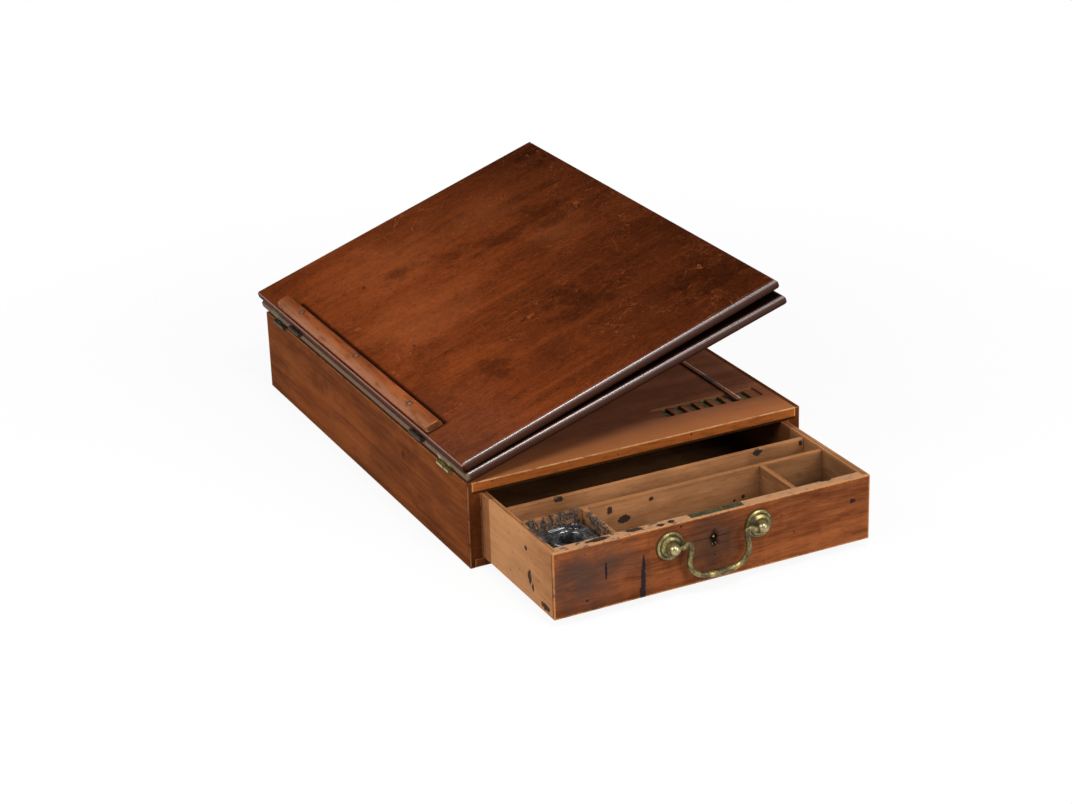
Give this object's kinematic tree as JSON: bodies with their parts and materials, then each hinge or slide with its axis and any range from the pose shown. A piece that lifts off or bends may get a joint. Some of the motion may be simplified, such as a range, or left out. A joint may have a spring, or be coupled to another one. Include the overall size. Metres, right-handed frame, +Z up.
{
  "type": "table-top writing desk",
  "caption": "Mahogany writing desk for a table top: double hinged slope on folding props over a shallow case, with a fitted side drawer, inkwell and brass bail handle.",
  "frame": {"origin": "centre of the case's underside", "axes": "+X to the drawer's side, -Y to the writer and the slope's hinges, +Z up"},
  "size_m": [0.649, 0.3476, 0.2138],
  "materials": {
    "leaf_mahogany": "worn polish",
    "case_mahogany": "worn polish",
    "front_mahogany": "worn polish, ink stained",
    "ledge_wood": "worn polish",
    "drawer_lining": "bare, ink stained",
    "prop_wood": "bare",
    "ink_glass": "moulded",
    "lock_brass": "tarnished",
    "handle_brass": "aged",
    "hinge_brass": "aged"
  },
  "bodies": {
    "case": {"case_front_panel": "case_mahogany", "case_back_panel": "case_mahogany", "case_left_end": "case_mahogany", "case_bottom": "case_mahogany", "case_top": "case_mahogany", "drawer_stops": "case_mahogany", "slope_hinge_case_plates": "hinge_brass", "slope_hinge_case_screws": "hinge_brass", "slope_hinge_pins": "hinge_brass"},
    "lower_leaf": {"lower_leaf": "leaf_mahogany", "slope_hinge_leaf_plates": "hinge_brass", "slope_hinge_leaf_screws": "hinge_brass", "leaf_hinge_lower_plates": "hinge_brass", "leaf_hinge_lower_screws": "hinge_brass", "leaf_hinge_pins": "hinge_brass", "slope_prop_hinge_leaf_plates": "hinge_brass", "slope_prop_hinge_pins": "hinge_brass", "slope_prop_hinge_leaf_screws": "hinge_brass"},
    "slope_prop": {"slope_prop_board": "prop_wood", "slope_prop_foot": "prop_wood", "slope_prop_hinge_plates": "hinge_brass", "slope_prop_hinge_screws": "hinge_brass"},
    "upper_leaf": {"upper_leaf": "leaf_mahogany", "book_ledge": "ledge_wood", "ledge_pins": "hinge_brass", "leaf_hinge_upper_plates": "hinge_brass", "leaf_hinge_upper_screws": "hinge_brass", "reading_prop_hinge_leaf_plates": "hinge_brass", "reading_prop_hinge_pins": "hinge_brass", "reading_prop_hinge_leaf_screws": "hinge_brass"},
    "reading_prop": {"reading_prop_board": "prop_wood", "reading_prop_foot": "prop_wood", "reading_prop_hinge_plates": "hinge_brass", "reading_prop_hinge_screws": "hinge_brass"},
    "drawer": {"drawer_front": "front_mahogany", "drawer_near_side": "drawer_lining", "drawer_far_side": "drawer_lining", "drawer_back": "drawer_lining", "drawer_bottom": "drawer_lining", "pen_tray_back": "drawer_lining", "pen_tray_front": "drawer_lining", "inkwell_divider": "drawer_lining", "end_divider": "drawer_lining", "inkwell": "ink_glass", "lock_case": "lock_brass", "lock_key_pin": "lock_brass", "handle_roses": "handle_brass", "handle_posts": "handle_brass", "handle_nuts": "handle_brass"},
    "handle_bail": {"handle_bail": "handle_brass"},
    "lock_bolt": {"lock_bolt": "lock_brass"}
  },
  "joints": [
    {"name": "slope_hinge", "type": "hinge", "parent": "case", "child": "lower_leaf", "pos_m": [0, -0.1718, 0.0828], "axis": [1, 0, 0], "range_deg": [-15.4, 20]},
    {"name": "slope_prop_hinge", "type": "hinge", "parent": "lower_leaf", "child": "slope_prop", "pos_m": [0, -0.0046, 0.13451], "axis": [1, 0, 0], "range_deg": [-47, 37]},
    {"name": "leaf_hinge", "type": "hinge", "parent": "lower_leaf", "child": "upper_leaf", "pos_m": [0, -0.17535, 0.09384], "axis": [1, 0, 0], "range_deg": [0, 25]},
    {"name": "reading_prop_hinge", "type": "hinge", "parent": "upper_leaf", "child": "reading_prop", "pos_m": [0, 0.00498, 0.15371], "axis": [1, 0, 0], "range_deg": [-64, 0]},
    {"name": "drawer_slide", "type": "slide", "parent": "case", "child": "drawer", "axis": [1, 0, 0], "range_m": [-0.138, 0.19]},
    {"name": "handle_swing", "type": "hinge", "parent": "drawer", "child": "handle_bail", "pos_m": [0.393, -0.00175, 0.0513], "axis": [0, -1, 0], "range_deg": [0, 95]},
    {"name": "lock_bolt_slide", "type": "slide", "parent": "drawer", "child": "lock_bolt", "axis": [0, 0, 1], "range_m": [0, 0.006]}
  ],
  "couplings": [
    {"joint": "slope_prop_hinge", "follows": "slope_hinge", "ratio": -2.2748},
    {"joint": "reading_prop_hinge", "follows": "leaf_hinge", "ratio": -2.4864}
  ]
}
